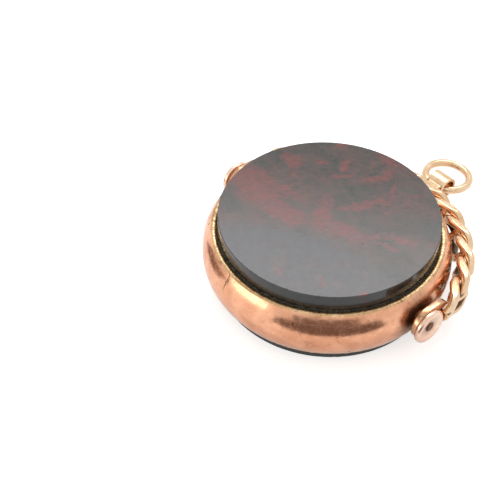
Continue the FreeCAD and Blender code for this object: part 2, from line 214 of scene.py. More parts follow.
def grain(tree, place, scale, detail=3.0, roughness=0.5, distortion=0.0):
    """A noise pattern's value."""
    inputs = {
        "Vector": place,
        "Scale": scale,
        "Detail": detail,
        "Roughness": roughness,
        "Distortion": distortion,
    }
    return add(tree, "ShaderNodeTexNoise", inputs).outputs["Fac"]


def step(tree, value, start, end, floor=0.0, ceiling=1.0):
    """A smooth step of a value from start to end."""
    inputs = {
        "Value": value,
        "From Min": start,
        "From Max": end,
        "To Min": floor,
        "To Max": ceiling,
    }
    made = add(tree, "ShaderNodeMapRange", inputs, interpolation_type="SMOOTHSTEP")
    return made.outputs[0]


def mixed(tree, share, first, second):
    """Two colours mixed by a share."""
    made = add(tree, "ShaderNodeMix", data_type="RGBA", blend_type="MIX")
    for index, value in ((0, share), (6, first), (7, second)):
        socket = made.inputs[index]
        if isinstance(value, bpy.types.NodeSocket):
            tree.links.new(value, socket)
        elif index:
            socket.default_value = (*value, 1.0)
        else:
            socket.default_value = value
    return made.outputs[2]


def length_of(tree, place):
    """The length of a vector."""
    return add(tree, "ShaderNodeVectorMath", {0: place}, operation="LENGTH").outputs["Value"]


def split(tree, place):
    """The three parts of a vector."""
    return add(tree, "ShaderNodeSeparateXYZ", {0: place}).outputs


def off_pivots(tree, parts):
    """The distance in millimetres from the line through the two pivots."""
    up = calculate(tree, "SUBTRACT", parts[2], MIDDLE / MM)
    spot = add(tree, "ShaderNodeCombineXYZ", {1: parts[1], 2: up})
    return length_of(tree, spot.outputs[0])


def bumped(tree, height, depth, under=None):
    """A bump of that depth, over another where one is given."""
    inputs = {"Height": height, "Distance": depth}
    if under is not None:
        inputs["Normal"] = under
    return add(tree, "ShaderNodeBump", inputs).outputs[0]


def new_material(name):
    """An empty material's node tree."""
    material = bpy.data.materials.new(name)
    material.use_nodes = True
    material.node_tree.nodes.clear()
    return material, material.node_tree


def finish_material(tree, colour, roughness, normal, metallic=0.0, **constants):
    """The surface shader; its plain numbers stand on its own sockets."""
    inputs = {"Base Color": colour, "Roughness": roughness, "Normal": normal}
    inputs["Metallic"] = metallic
    for name, value in constants.items():
        inputs[name.replace("_", " ")] = value
    shader = add(tree, "ShaderNodeBsdfPrincipled", inputs)
    add(tree, "ShaderNodeOutputMaterial", {"Surface": shader.outputs[0]})


def gold(name, tones, smooth, worn, grime_share, dark_mask=None, blotch=0.9, dimple=0.04):
    """Worn polished gold: patchy tone, grime, hairline scratches and, where given, a dark mask of
    tarnishing, which on the rim also holds painted shade round the pivots.
    """
    bright, deep, grime = tones
    material, tree = new_material(name)
    place = millimetres(tree)
    tone = step(tree, grain(tree, place, 0.32, 4.0, 0.55, 0.6), 0.35, 0.68)
    fine = grain(tree, place, 2.6, 6.0, 0.62)
    patch = step(tree, grain(tree, place, blotch, 5.0, 0.6, 1.2), 0.52, 0.72)
    along = turned_place(tree, place, (0, 0, 0), 24, (2.4, 0.12, 0.9))
    across = turned_place(tree, place, (0, 0, 0), -58, (0.10, 2.0, 1.4))
    first = step(tree, grain(tree, along, 1.6, 5.0, 0.7), 0.60, 0.66)
    second = step(tree, grain(tree, across, 1.6, 5.0, 0.7), 0.61, 0.66)
    scratch = calculate(tree, "MAXIMUM", first, second)
    colour = mixed(tree, tone, deep, bright)
    stain = calculate(tree, "MULTIPLY", patch, grime_share)
    colour = mixed(tree, stain, colour, grime)
    shine = step(tree, fine, 0.30, 0.72, smooth, worn)
    dull = calculate(tree, "MULTIPLY", patch, 0.12)
    if dark_mask is not None:
        # Tarnishing, and on the rim painted shade round the pivots
        dark = dark_mask(tree, place, fine)
        colour = mixed(tree, dark, colour, TARNISH_AND_SHADE)
        dull = calculate(tree, "MULTIPLY_ADD", dark, 0.25, dull)
    shine = calculate(tree, "ADD", shine, dull, use_clamp=True)
    marks = calculate(tree, "MULTIPLY_ADD", scratch, -0.6, fine)
    normal = bumped(tree, marks, 0.0025 * MM)
    dips = grain(tree, place, 0.55, 2.0, 0.4)
    normal = bumped(tree, dips, dimple * MM, normal)
    finish_material(tree, colour, shine, normal, 1.0)
    return material


def rim_tarnish_and_pivot_shade(tree, place, fine):
    """Dark marks on the rim: painted shade round the two pivots, standing in for the eye plates'
    shadow and dark reflection, and tarnishing in its solder seam and in small nicks.
    """
    parts = split(tree, place)
    seam = split(tree, turned_place(tree, place, (0, 0, 0), math.degrees(SEAM_ANGLE), (1, 1, 1)))
    crooked = calculate(tree, "MULTIPLY_ADD", fine, 0.25, seam[1])
    beside = calculate(tree, "ABSOLUTE", calculate(tree, "SUBTRACT", crooked, 0.125))
    line_share = step(tree, beside, 0.13, 0.04, 0.0, 0.9)
    upper = step(tree, parts[2], MIDDLE / MM + 0.8, MIDDLE / MM + 2.2)
    front = step(tree, seam[0], 12.0, 13.0)
    line_share = calculate(tree, "MULTIPLY", line_share, calculate(tree, "MULTIPLY", upper, front))
    cells = add(tree, "ShaderNodeTexVoronoi", {"Vector": place, "Scale": 0.42}, feature="F1")
    spread = calculate(tree, "MULTIPLY", cells.outputs["Color"], 0.12)
    inside = calculate(tree, "SUBTRACT", cells.outputs["Distance"], spread)
    nick = step(tree, inside, 0.0, -0.03, 0.0, 0.8)
    line_share = calculate(tree, "MAXIMUM", line_share, nick)
    # Painted shade round the pivots: the eye plates' shadow and dark reflection on the rim
    ragged = calculate(tree, "MULTIPLY_ADD", fine, 1.6, off_pivots(tree, parts))
    near = step(tree, ragged, 4.6, 2.2, 0.0, 0.85)
    side = calculate(tree, "ABSOLUTE", parts[0])
    near = calculate(tree, "MULTIPLY", near, step(tree, side, 13.4, 14.0))
    return calculate(tree, "MAXIMUM", near, line_share)


def dish_tarnish(tree, place, fine):
    """Tarnish in the dish of a rivet head."""
    ragged = calculate(tree, "MULTIPLY_ADD", fine, 0.5, off_pivots(tree, split(tree, place)))
    return step(tree, ragged, 1.65, 0.70, 0.0, 0.50)


def link_opening_darkening(tree, place, fine):
    """Darker inside the links' openings, from what the chain's own mesh carries."""
    hollow = add(tree, "ShaderNodeAttribute", attribute_name="hollow").outputs["Fac"]
    ragged = calculate(tree, "MULTIPLY_ADD", fine, 0.5, hollow)
    return step(tree, ragged, 0.25, 0.85, 0.0, 0.92)


# The red flames of the front stone: centre, half size, turn in degrees, strength
FLAMES = [
    ((-9.3, -3.2), (4.2, 2.6), -8, 1.00),
    ((-4.2, -3.9), (4.0, 1.6), 14, 0.95),
    ((-7.0, -1.2), (3.2, 0.9), 12, 0.60),
    ((-0.6, -0.4), (3.4, 1.3), -52, 0.85),
    ((1.0, -1.9), (2.6, 1.2), 10, 0.60),
    ((3.8, -0.5), (2.6, 1.3), 18, 0.70),
    ((5.6, 1.0), (1.4, 0.5), 48, 0.75),
    ((1.3, 3.8), (2.4, 0.8), 66, 0.90),
    ((2.3, 6.3), (1.9, 0.6), 62, 0.80),
    ((2.1, 8.4), (1.9, 0.35), -52, 0.85),
    ((-1.0, 8.4), (2.5, 0.55), 64, 0.90),
    ((-0.5, 10.3), (1.0, 0.5), 80, 0.70),
    ((-5.0, 7.3), (1.1, 0.45), -72, 0.95),
    ((-3.9, 5.7), (1.6, 0.5), 62, 0.90),
    ((-10.0, 3.3), (1.7, 1.1), -10, 0.80),
    ((-6.9, 5.7), (0.9, 0.4), 60, 0.60),
    ((-8.0, 9.6), (1.4, 1.0), -40, 0.55),
    ((-2.0, 12.2), (3.0, 0.8), 0, 0.60),
    ((4.6, 9.9), (1.1, 0.4), 62, 0.60),
    ((8.2, 3.1), (2.4, 0.7), 22, 0.60),
    ((7.7, 1.0), (2.0, 0.5), 32, 0.60),
    ((4.3, 5.5), (0.6, 0.4), 0, 0.60),
    ((-7.8, 1.6), (1.2, 0.5), -35, 0.50),
    ((2.6, -10.6), (1.3, 0.6), -30, 0.45),
    ((7.2, -8.0), (1.4, 0.6), -35, 0.40),
    ((11.6, -6.1), (0.42, 0.28), 35, 1.30),
]


def flame_share(tree, place):
    """Where the flames lie, with ragged edges."""
    wander = {"Vector": place, "Scale": 0.55, "Detail": 3.0, "Roughness": 0.6}
    shift = add(tree, "ShaderNodeTexNoise", wander).outputs["Color"]
    shift = add(tree, "ShaderNodeVectorMath", {0: shift, 1: (0.5, 0.5, 0.5)}, operation="SUBTRACT")
    push = {0: shift.outputs[0], 1: (3.0, 3.0, 0.0), 2: place}
    bent = add(tree, "ShaderNodeVectorMath", push, operation="MULTIPLY_ADD").outputs[0]
    total = 0.0
    for (across, up), (length, width), turn, strength in FLAMES:
        stretch = (length, width, 1000.0)
        spot = turned_place(tree, bent, (across, up, 0.0), turn, stretch)
        patch = step(tree, length_of(tree, spot), 1.35, 0.25, 0.0, strength)
        total = calculate(tree, "MAXIMUM", total, patch)
    return total


def bloodstone(name):
    """Polished dark green stone with brick-red flames, a blue-grey zone lightened by painted haze,
    pits and specks, and a side darkened by painted shade.
    """
    material, tree = new_material(name)
    place = millimetres(tree)
    broad = grain(tree, place, 0.22, 4.0, 0.55, 0.8)
    fine = grain(tree, place, 1.7, 6.0, 0.68, 0.5)
    fibre_place = turned_place(tree, place, (0, 0, 0), 48, (1.7, 0.6, 1.0))
    fibre = grain(tree, fibre_place, 1.0, 6.0, 0.66, 1.4)
    ground = mixed(tree, step(tree, broad, 0.36, 0.62), (0.014, 0.026, 0.022), (0.058, 0.044, 0.035))

    # The blue-grey zone: the stone's own colour, painted a little lighter as haze from the softbox
    # on the near part
    slate_place = turned_place(tree, place, (3.5, -9.0, 0.0), 24, (12.0, 5.2, 1000.0))
    ragged = calculate(tree, "MULTIPLY_ADD", fine, 0.5, length_of(tree, slate_place))
    slate_and_haze = step(tree, ragged, 1.45, 1.10)
    ground = mixed(tree, slate_and_haze, ground, (0.041, 0.051, 0.060))

    # Red clouds and threads
    flames = flame_share(tree, place)
    cloudy = calculate(tree, "MULTIPLY_ADD", fibre, 1.2, flames)
    cloud = step(tree, calculate(tree, "MULTIPLY_ADD", fine, 0.7, cloudy), 0.62, 1.95, 0.0, 0.95)
    wisp_place = turned_place(tree, place, (0, 0, 0), 35, (1.1, 0.45, 1.0))
    wisp = grain(tree, wisp_place, 1.3, 7.0, 0.72, 2.2)
    cloud = calculate(tree, "MULTIPLY", cloud, step(tree, wisp, 0.42, 0.56, 0.40, 1.0))
    colour = mixed(tree, cloud, ground, (0.150, 0.032, 0.026))
    ridge = calculate(tree, "ABSOLUTE", calculate(tree, "SUBTRACT", fibre, 0.5))
    thread = step(tree, ridge, 0.075, 0.0)
    blot = step(tree, fine, 0.52, 0.66)
    thread = calculate(tree, "MAXIMUM", thread, blot)
    reach = step(tree, flames, 0.0, 0.70, 0.0, 0.9)
    wild = step(tree, grain(tree, place, 0.16, 3.0, 0.5, 0.6), 0.44, 0.62, 0.0, 0.45)
    wild = calculate(tree, "MULTIPLY", wild, calculate(tree, "SUBTRACT", 1.0, slate_and_haze))
    reach = calculate(tree, "MAXIMUM", reach, wild)
    thread = calculate(tree, "MULTIPLY", thread, reach)
    colour = mixed(tree, calculate(tree, "MULTIPLY", thread, 0.85), colour, (0.225, 0.036, 0.030))
    rosy = step(tree, grain(tree, place, 0.35, 4.0, 0.6, 1.0), 0.48, 0.66, 0.0, 0.45)
    near = turned_place(tree, place, (6.0, -7.0, 0.0), 30, (8.0, 5.5, 1000.0))
    rosy = calculate(tree, "MULTIPLY", rosy, step(tree, length_of(tree, near), 1.2, 0.4))
    colour = mixed(tree, rosy, colour, (0.105, 0.070, 0.066))

    # Pits and pale flecks
    cells = {"Vector": place, "Scale": 0.55, "Randomness": 1.0}
    pits = add(tree, "ShaderNodeTexVoronoi", cells, feature="F1")
    size = calculate(tree, "MULTIPLY", pits.outputs["Color"], 0.06)
    pit = calculate(tree, "LESS_THAN", pits.outputs["Distance"], size)
    colour = mixed(tree, pit, colour, (0.006, 0.007, 0.007))
    flecks = add(tree, "ShaderNodeTexVoronoi", {"Vector": place, "Scale": 0.8}, feature="F1")
    fleck_size = calculate(tree, "MULTIPLY", flecks.outputs["Color"], 0.045)
    fleck = calculate(tree, "LESS_THAN", flecks.outputs["Distance"], fleck_size)
    colour = mixed(tree, calculate(tree, "MULTIPLY", fleck, 0.5), colour, (0.30, 0.27, 0.22))

    # Painted shade on the stone's side, and the polish
    facing = split(tree, add(tree, "ShaderNodeTexCoord").outputs["Normal"])
    side = step(tree, calculate(tree, "ABSOLUTE", facing[2]), 0.75, 0.35)
    colour = mixed(tree, calculate(tree, "MULTIPLY", side, 0.9), colour, (0.004, 0.008, 0.009))
    shine = step(tree, fine, 0.3, 0.75, 0.16, 0.24)
    shine = calculate(tree, "MULTIPLY_ADD", pit, 0.5, shine, use_clamp=True)
    height = calculate(tree, "MULTIPLY_ADD", pit, -1.0, 0.5)
    normal = bumped(tree, height, 0.02 * MM)
    normal = bumped(tree, fibre, 0.0012 * MM, normal)
    finish_material(tree, colour, shine, normal, IOR=1.6)
    return material


def dark_stone(name):
    """The plainer dark stone behind."""
    material, tree = new_material(name)
    place = millimetres(tree)
    broad = grain(tree, place, 0.3, 4.0, 0.6, 1.0)
    fine = grain(tree, place, 1.9, 6.0, 0.65, 0.4)
    ground = mixed(tree, step(tree, broad, 0.38, 0.66), (0.012, 0.017, 0.016), (0.036, 0.044, 0.040))
    vein = step(tree, calculate(tree, "MULTIPLY_ADD", broad, 0.8, fine), 1.02, 1.16)
    colour = mixed(tree, vein, ground, (0.085, 0.030, 0.024))
    shine = step(tree, fine, 0.3, 0.75, 0.14, 0.24)
    normal = bumped(tree, fine, 0.0015 * MM)
    finish_material(tree, colour, shine, normal, IOR=1.6)
    return material


def packed_dirt(name):
    """Old dirt in the crevice between stone and gold."""
    material, tree = new_material(name)
    place = millimetres(tree)
    clod = grain(tree, place, 3.2, 5.0, 0.7)
    colour = mixed(tree, step(tree, clod, 0.4, 0.65), (0.010, 0.011, 0.008), (0.085, 0.070, 0.042))
    normal = bumped(tree, clod, 0.06 * MM)
    shine = step(tree, clod, 0.3, 0.7, 0.65, 0.9)
    finish_material(tree, colour, shine, normal)
    return material


def shellac_cement(name):
    """Hidden setting cement."""
    material, tree = new_material(name)
    place = millimetres(tree)
    lump = grain(tree, place, 1.4, 5.0, 0.6)
    colour = mixed(tree, step(tree, lump, 0.35, 0.7), (0.16, 0.11, 0.07), (0.30, 0.23, 0.16))
    normal = bumped(tree, lump, 0.04 * MM)
    shine = step(tree, lump, 0.3, 0.7, 0.55, 0.8)
    finish_material(tree, colour, shine, normal)
    return material


rose_tones = (ROSE_BRIGHT, ROSE_DEEP, ROSE_GRIME_AND_SHADE)
fitting_tones = (FITTING_BRIGHT, FITTING_DEEP, ROSE_GRIME_AND_SHADE)
head_tones = (HEAD_BRIGHT, HEAD_DEEP, ROSE_GRIME_AND_SHADE)
shade_painted_tones = (ROSE_GRIME_AND_SHADE, TARNISH_AND_SHADE, TARNISH_AND_SHADE)
chain_tones = (CHAIN_BRIGHT, CHAIN_DEEP, CHAIN_GRIME)
edge_tones = (EDGE_BRIGHT, EDGE_DEEP, EDGE_GRIME)
rose_gold = gold("worn_rose_gold", rose_tones, 0.14, 0.26, 0.20, rim_tarnish_and_pivot_shade, dimple=0.018)
fitting_gold = gold("fitting_rose_gold", fitting_tones, 0.14, 0.30, 0.6)
head_gold = gold("rivet_rose_gold", head_tones, 0.16, 0.32, 0.2, dish_tarnish)
# Near-black gold for the collars, collet and pins: painted shade for the dark gap between the rim
# and the eye plates
shade_painted_gold = gold("shade_painted_rose_gold", shade_painted_tones, 0.30, 0.50, 0.35)
chain_gold = gold("chain_rose_gold", chain_tones, 0.12, 0.26, 0.3, link_opening_darkening)
plain_gold = gold("plain_rose_gold", chain_tones, 0.12, 0.28, 0.3)
edge_gold = gold("rubbed_yellow_gold", edge_tones, 0.20, 0.42, 0.85, blotch=1.6)
stone_front = bloodstone("bloodstone")
stone_back = dark_stone("dark_bloodstone")
dirt = packed_dirt("setting_dirt")
cement = shellac_cement("setting_cement")


# Meshes
def arc(start, through, end, count):
    """Points of the circle's arc through three points, with both its ends."""
    (ax, ay), (bx, by), (cx, cy) = start, through, end
    d = 2 * (ax * (by - cy) + bx * (cy - ay) + cx * (ay - by))
    a2, b2, c2 = ax * ax + ay * ay, bx * bx + by * by, cx * cx + cy * cy
    ux = (a2 * (by - cy) + b2 * (cy - ay) + c2 * (ay - by)) / d
    uy = (a2 * (cx - bx) + b2 * (ax - cx) + c2 * (bx - ax)) / d
    radius = math.hypot(ax - ux, ay - uy)
    first = math.atan2(ay - uy, ax - ux)
    turn = math.atan2(cy - uy, cx - ux) - first
    middle = math.atan2(by - uy, bx - ux) - first
    turn = turn % (2 * math.pi)
    if middle % (2 * math.pi) > turn:
        turn -= 2 * math.pi
    points = []
    for index in range(count + 1):
        angle = first + turn * index / count
        points.append((ux + radius * math.cos(angle), uy + radius * math.sin(angle)))
    return points


def line(start, end, count):
    """Points of a straight line without its last point."""
    (ax, ay), (bx, by) = start, end
    points = []
    for index in range(count):
        share = index / count
        points.append((ax + (bx - ax) * share, ay + (by - ay) * share))
    return points


def new_piece(name, mesh, material, body, stands_for=()):
    """A finished piece: its material, its body and what it stands for."""
    mesh.materials.clear()
    mesh.materials.append(material)
    piece = bpy.data.objects.new(name, mesh)
    bpy.context.scene.collection.objects.link(piece)
    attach(piece, body)
    if stands_for:
        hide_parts(*stands_for)
    return piece


def smooth_mesh(mesh, sharp_angle=None):
    """Smooth shading, with edges past an angle in degrees kept sharp."""
    mesh.shade_smooth()
    if sharp_angle is not None:
        mesh.set_sharp_from_angle(angle=math.radians(sharp_angle))


def turned_mesh(name, outline, steps, shape=None, closed=True):
    """A turned solid about Z; shape may move a point, given its angle and its ring."""
    made = bmesh.new()
    rings = []
    for index, (radius, height) in enumerate(outline):
        if radius < 1e-9:
            rings.append([made.verts.new((0.0, 0.0, height))])
            continue
        ring = []
        for count in range(steps):
            angle = 2 * math.pi * count / steps
            r, z = radius, height
            if shape is not None:
                r, z = shape(angle, index, radius, height)
            ring.append(made.verts.new((r * math.cos(angle), r * math.sin(angle), z)))
        rings.append(ring)
    pairs = list(zip(rings, rings[1:]))
    if closed:
        pairs.append((rings[-1], rings[0]))
    for one, two in pairs:
        for count in range(steps):
            after = (count + 1) % steps
            if len(one) == 1 and len(two) > 1:
                made.faces.new((one[0], two[count], two[after]))
            elif len(two) == 1 and len(one) > 1:
                made.faces.new((one[count], two[0], one[after]))
            elif len(one) > 1:
                made.faces.new((one[count], two[count], two[after], one[after]))
    bmesh.ops.recalc_face_normals(made, faces=made.faces)
    mesh = bpy.data.meshes.new(name)
    made.to_mesh(mesh)
    made.free()
    return mesh


def merged_copy(node, name):
    """A copy of a CAD node's mesh with its loose triangles merged."""
    made = bmesh.new()
    made.from_mesh(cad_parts[node].data)
    bmesh.ops.remove_doubles(made, verts=made.verts, dist=0.0005 * MM)
    mesh = bpy.data.meshes.new(name)
    made.to_mesh(mesh)
    made.free()
    return mesh


def evaluated(mesh, name, *modifiers):
    """A mesh with modifiers applied, each given as its kind and its settings."""
    carrier = bpy.data.objects.new(name, mesh)
    bpy.context.scene.collection.objects.link(carrier)
    for kind, settings in modifiers:
        modifier = carrier.modifiers.new(kind, kind)
        for key, value in settings.items():
            setattr(modifier, key, value)
    graph = bpy.context.evaluated_depsgraph_get()
    result = bpy.data.meshes.new_from_object(carrier.evaluated_get(graph))
    bpy.data.objects.remove(carrier)
    result.name = name
    return result


def wave(angle, height, scale, seed):
    """A gentle seeded unevenness round a ring, between -1 and 1."""
    place = Vector((math.cos(angle) * scale, math.sin(angle) * scale, height / MM * 0.3 + seed))
    return noise.noise(place)


def set_in_rim(mesh, up, sharp_angle):
    """Put a turned mesh on the rim's middle plane, for the front or turned for the back."""
    place = Matrix.Translation((0, 0, MIDDLE))
    if not up:
        place = place @ Matrix.Rotation(math.pi, 4, "X")
    mesh.transform(place)
    smooth_mesh(mesh, sharp_angle)
    return mesh


# The rim
def rim_shape(angle, index, radius, height):
    """The worn band: faint waves, small dents and the solder seam."""
    if index > BAND_OUTSIDE:
        return radius, height
    offset = 0.022 * MM * wave(angle, height, 6.0, 3.1)
    offset += 0.010 * MM * wave(angle, height, 17.0, 8.4)
    for turn, up, size, depth in RIM_DENTS:
        apart = (angle - math.radians(turn) + math.pi) % (2 * math.pi) - math.pi
        away = math.hypot(apart * BAND_CREST, height - up * MM) / (size * MM)
        if away < 2.5:
            offset -= depth * MM * math.exp(-away * away)
    drift = 0.012 * math.sin(height / BAND_HALF * 3.0)
    apart = (angle - SEAM_ANGLE - drift + math.pi) % (2 * math.pi) - math.pi
    away = abs(apart) * BAND_CREST / SEAM_WIDTH
    if away < 3 and height > 0:
        offset -= SEAM_DEPTH * math.exp(-away * away) * min(1.0, height / BAND_HALF * 1.4)
    edge = min(1.0, (BAND_HALF - abs(height)) / (0.2 * MM))
    return radius + offset * max(0.0, edge), height


band_outline = arc((BEZEL_OUTER, -BAND_HALF), (BAND_CREST, 0), (BEZEL_OUTER, BAND_HALF), 56)
BAND_OUTSIDE = len(band_outline) - 1
inner_half = BAND_HALF - BAND_WALL
inner_crest = BAND_CREST - BAND_WALL
band_outline += line((BEZEL_OUTER, BAND_HALF), (BEZEL_OUTER, inner_half), 1)[1:]
band_outline += arc((BEZEL_OUTER, inner_half), (inner_crest, 0), (BEZEL_OUTER, -inner_half), 14)
band_mesh = turned_mesh("rim_band", band_outline, RIM_STEPS, rim_shape)
band_mesh.transform(Matrix.Translation((0, 0, MIDDLE)))
smooth_mesh(band_mesh, 40)
new_piece("rim_band", band_mesh, rose_gold, "disc", ["rim_outer_band"])


# The rubbed-over edges
def bezel_mesh(name, seed, up):
    """A thin gold edge, pushed over by hand: uneven in height and lip."""
    edge = COLLET_HALF + 0.08 * MM
    crest = (COLLET_INNER + BEZEL_OUTER) / 2
    outline = [(COLLET_OUTER, BEZEL_BOTTOM), (BEZEL_OUTER, BEZEL_BOTTOM)]
    outline += arc((BEZEL_OUTER, edge), (crest, BEZEL_TOP), (COLLET_INNER, edge), 12)
    outline += [(COLLET_INNER, COLLET_HALF), (COLLET_OUTER, COLLET_HALF)]

    def rubbed(angle, index, radius, height):
        if height < COLLET_HALF + 0.01 * MM:
            return radius, height
        lift = 0.07 * wave(angle, 0, 14.0, seed) + 0.05 * wave(angle, 0, 45.0, seed + 5)
        lean = 0.05 * wave(angle, 0, 22.0, seed + 9)
        inner = (BEZEL_OUTER - radius) / (BEZEL_OUTER - COLLET_INNER)
        return radius + min(0.02, lean) * MM * inner, height + (lift - 0.03) * MM

    mesh = turned_mesh(name, outline, RIM_STEPS, rubbed)
    return set_in_rim(mesh, up, 45)


front_edge = bezel_mesh("front_rubbed_edge", 2.0, True)
new_piece("front_rubbed_edge", front_edge, edge_gold, "disc", ["front_bezel"])
back_edge = bezel_mesh("back_rubbed_edge", 31.0, False)
new_piece("back_rubbed_edge", back_edge, edge_gold, "disc", ["back_bezel"])


# The stones and the dirt round them
def stone_mesh(name, seed, up):
    """A polished slab with a soft bevel and a few tiny chips on it."""
    bottom = low("front_stone", 2) - MIDDLE
    top = FACE_TOP - MIDDLE if up else MIDDLE - low("back_stone", 2)
    land = STONE_RADIUS - STONE_BEVEL
    outline = [(0, bottom), (STONE_RADIUS * 0.5, bottom), (STONE_RADIUS, bottom)]
    outline += line((STONE_RADIUS, bottom), (STONE_RADIUS, top - STONE_BEVEL), 8)[1:]
    outline += line((STONE_RADIUS, top - STONE_BEVEL), (land, top), 5)
    outline += [(land, top), (land - 0.12 * MM, top), (STONE_RADIUS * 0.6, top), (0, top)]

    def chipped(angle, index, radius, height):
        if height < top - 2 * STONE_BEVEL or radius < land - 0.01 * MM:
            return radius, height
        chip = max(0.0, wave(angle, 0, 60.0, seed) - 0.32) * 0.25
        ripple = 0.012 * wave(angle, 0, 20.0, seed + 3)
        return radius - (chip + abs(ripple)) * MM, height

    mesh = turned_mesh(name, outline, STONE_STEPS, chipped, closed=False)
    return set_in_rim(mesh, up, 20)


front_slab = stone_mesh("front_bloodstone", 4.0, True)
new_piece("front_bloodstone", front_slab, stone_front, "disc", ["front_stone"])
back_slab = stone_mesh("back_bloodstone", 17.0, False)
new_piece("back_bloodstone", back_slab, stone_back, "disc", ["back_stone"])


def dirt_mesh(name, seed, up):
    """A ragged fillet of dirt where the stone meets its gold edge."""
    base = COLLET_HALF - 0.1 * MM
    crest = COLLET_HALF + 0.12 * MM
    outline = [
        (STONE_RADIUS - 0.02 * MM, base),
        (COLLET_INNER + 0.02 * MM, base),
        (COLLET_INNER + 0.03 * MM, crest - 0.08 * MM),
        (COLLET_INNER - 0.03 * MM, crest),
        (STONE_RADIUS + 0.02 * MM, crest + 0.08 * MM),
        (STONE_RADIUS - 0.02 * MM, crest + 0.16 * MM),
    ]

    def ragged(angle, index, radius, height):
        if index < 2:
            return radius, height
        lift = 0.16 * wave(angle, 0, 30.0, seed) + 0.12 * wave(angle, 0, 90.0, seed + index)
        return radius, height + lift * MM

    mesh = turned_mesh(name, outline, RIM_STEPS, ragged)
    return set_in_rim(mesh, up, 60)


front_dirt = dirt_mesh("front_setting_dirt", 6.0, True)
new_piece("front_setting_dirt", front_dirt, dirt, "disc")
back_dirt = dirt_mesh("back_setting_dirt", 26.0, False)
new_piece("back_setting_dirt", back_dirt, dirt, "disc")


# The curb chain
def geometry_tree(name, sizes):
    """An empty Geometry Nodes tree with named inputs for its sizes."""
    tree = bpy.data.node_groups.new(name, "GeometryNodeTree")
    face = tree.interface
    for label, kind, value in sizes:
        socket = face.new_socket(label, in_out="INPUT", socket_type=kind)
        socket.default_value = value
    face.new_socket("Material", in_out="INPUT", socket_type="NodeSocketMaterial")
    face.new_socket("Geometry", in_out="OUTPUT", socket_type="NodeSocketGeometry")
    return tree


